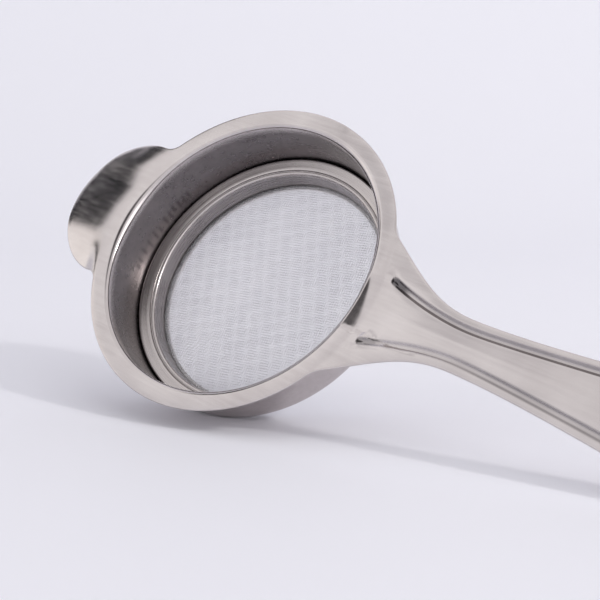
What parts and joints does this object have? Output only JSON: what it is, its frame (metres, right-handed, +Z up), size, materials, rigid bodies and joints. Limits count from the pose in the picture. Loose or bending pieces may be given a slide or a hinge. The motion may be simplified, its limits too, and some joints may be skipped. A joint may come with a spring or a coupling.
{
  "type": "fine mesh strainer",
  "caption": "Hand-held strainer: a shallow flanged steel cup with a clamped wire-cloth floor, a round rest tab and a flared, grooved handle.",
  "frame": {"origin": "on the cup's axis, at the top end of its straight cylindrical wall, just under the mouth's rolled edge", "axes": "+Z up out of the mouth along the cup's axis, +X towards the rest tab, the handle runs along -X"},
  "size_m": [0.182, 0.0752, 0.0193],
  "materials": {
    "body_steel": "satin pressed stainless steel, warm grey",
    "ring_steel": "satin stainless steel with brighter rolled edges",
    "fine_wire": "bright drawn stainless wire, plain weave",
    "support_wire": "bright drawn stainless wire, plain weave"
  },
  "bodies": {
    "root": {"body_pressing": "body_steel", "retaining_ring": "ring_steel", "fine_mesh": "fine_wire", "support_mesh": "support_wire"}
  },
  "joints": []
}
